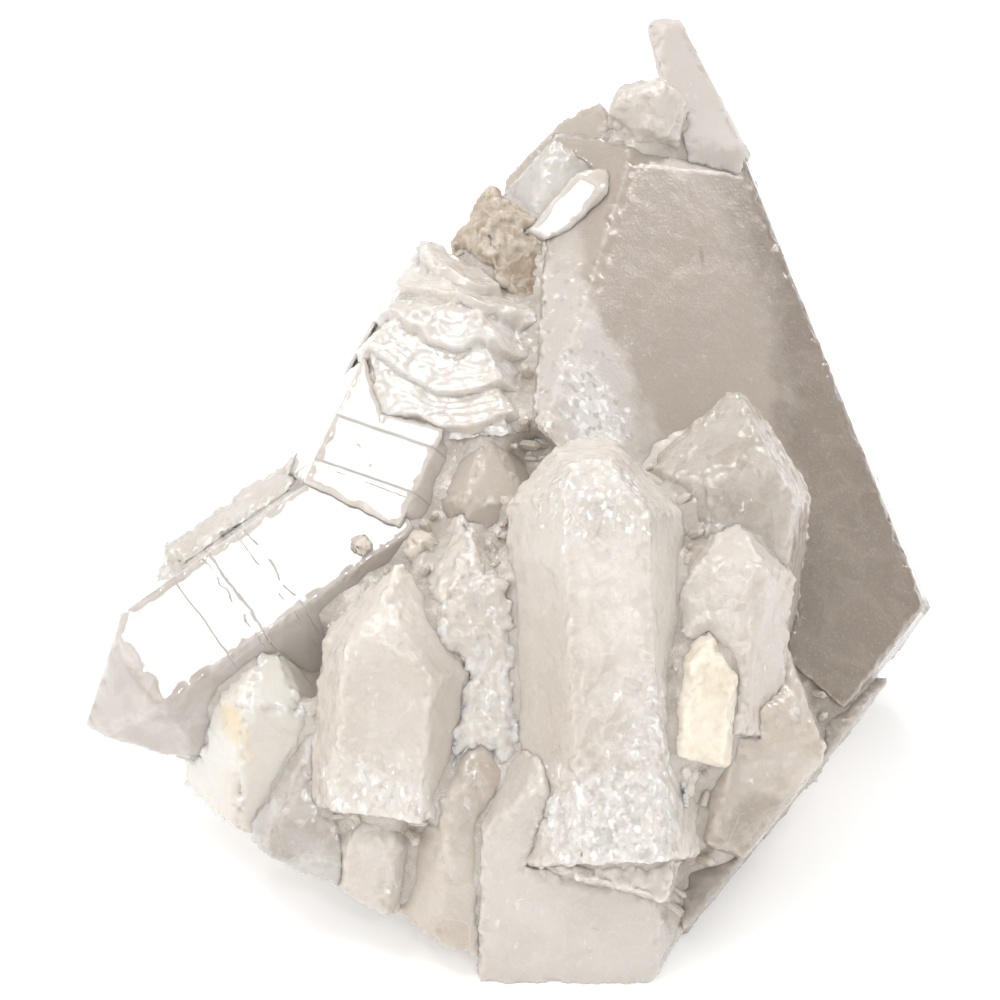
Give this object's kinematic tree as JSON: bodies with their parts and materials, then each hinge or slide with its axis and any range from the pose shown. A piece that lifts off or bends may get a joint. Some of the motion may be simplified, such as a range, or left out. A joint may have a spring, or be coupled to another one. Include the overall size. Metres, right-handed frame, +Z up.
{
  "type": "quartz crystal cluster",
  "caption": "Hand-sized natural quartz cluster: one large smoky point with smaller milky and clear points around it on a broken base.",
  "frame": {"origin": "on the resting surface, under the middle of the cluster's box", "axes": "+X to the right as seen from the display side, +Y away from the display side, +Z up"},
  "size_m": [0.107, 0.1088, 0.0826],
  "materials": {
    "quartz_milky": "milky, softly polished crystal faces",
    "quartz_clear": "clear to cloudy, glassy crystal faces",
    "quartz_smoky": "smoky beige, glassy crystal faces",
    "quartz_cream": "cream, dull",
    "quartz_stained": "iron stained, dull",
    "quartz_rough": "rough broken rock"
  },
  "bodies": {
    "root": {"summit_bud": "quartz_milky", "left_prism": "quartz_clear", "centre_crystal": "quartz_milky", "centre_lower": "quartz_milky", "left_plate": "quartz_milky", "cream_plate": "quartz_cream", "right_centre_upper": "quartz_clear", "right_centre_lower": "quartz_milky", "right_facet": "quartz_clear", "upper_rear": "quartz_smoky", "shoulder": "quartz_clear", "rear_right": "quartz_clear", "rear_high": "quartz_milky", "rear_right_high": "quartz_clear", "main_point": "quartz_smoky", "summit_point": "quartz_smoky", "bright_wedge": "quartz_clear", "lower_block": "quartz_milky", "low_front_mid": "quartz_clear", "low_front_left": "quartz_milky", "fluted_crystal": "quartz_clear", "left_slab": "quartz_clear", "left_prism_upper": "quartz_clear", "stained_shoulder": "quartz_stained", "mid_left_rough": "quartz_clear", "brown_bud_left": "quartz_stained", "brown_bud_right": "quartz_stained", "lower_right": "quartz_smoky", "lower_left_clear": "quartz_clear", "lower_left_body": "quartz_clear", "recess_prism": "quartz_smoky", "rear_recess": "quartz_smoky", "rear_upper": "quartz_milky", "rear_left": "quartz_milky", "rear_under_prism": "quartz_clear", "rear_left_low": "quartz_clear", "rear_mid": "quartz_milky", "rear_low": "quartz_clear", "matrix": "quartz_rough"}
  },
  "joints": []
}
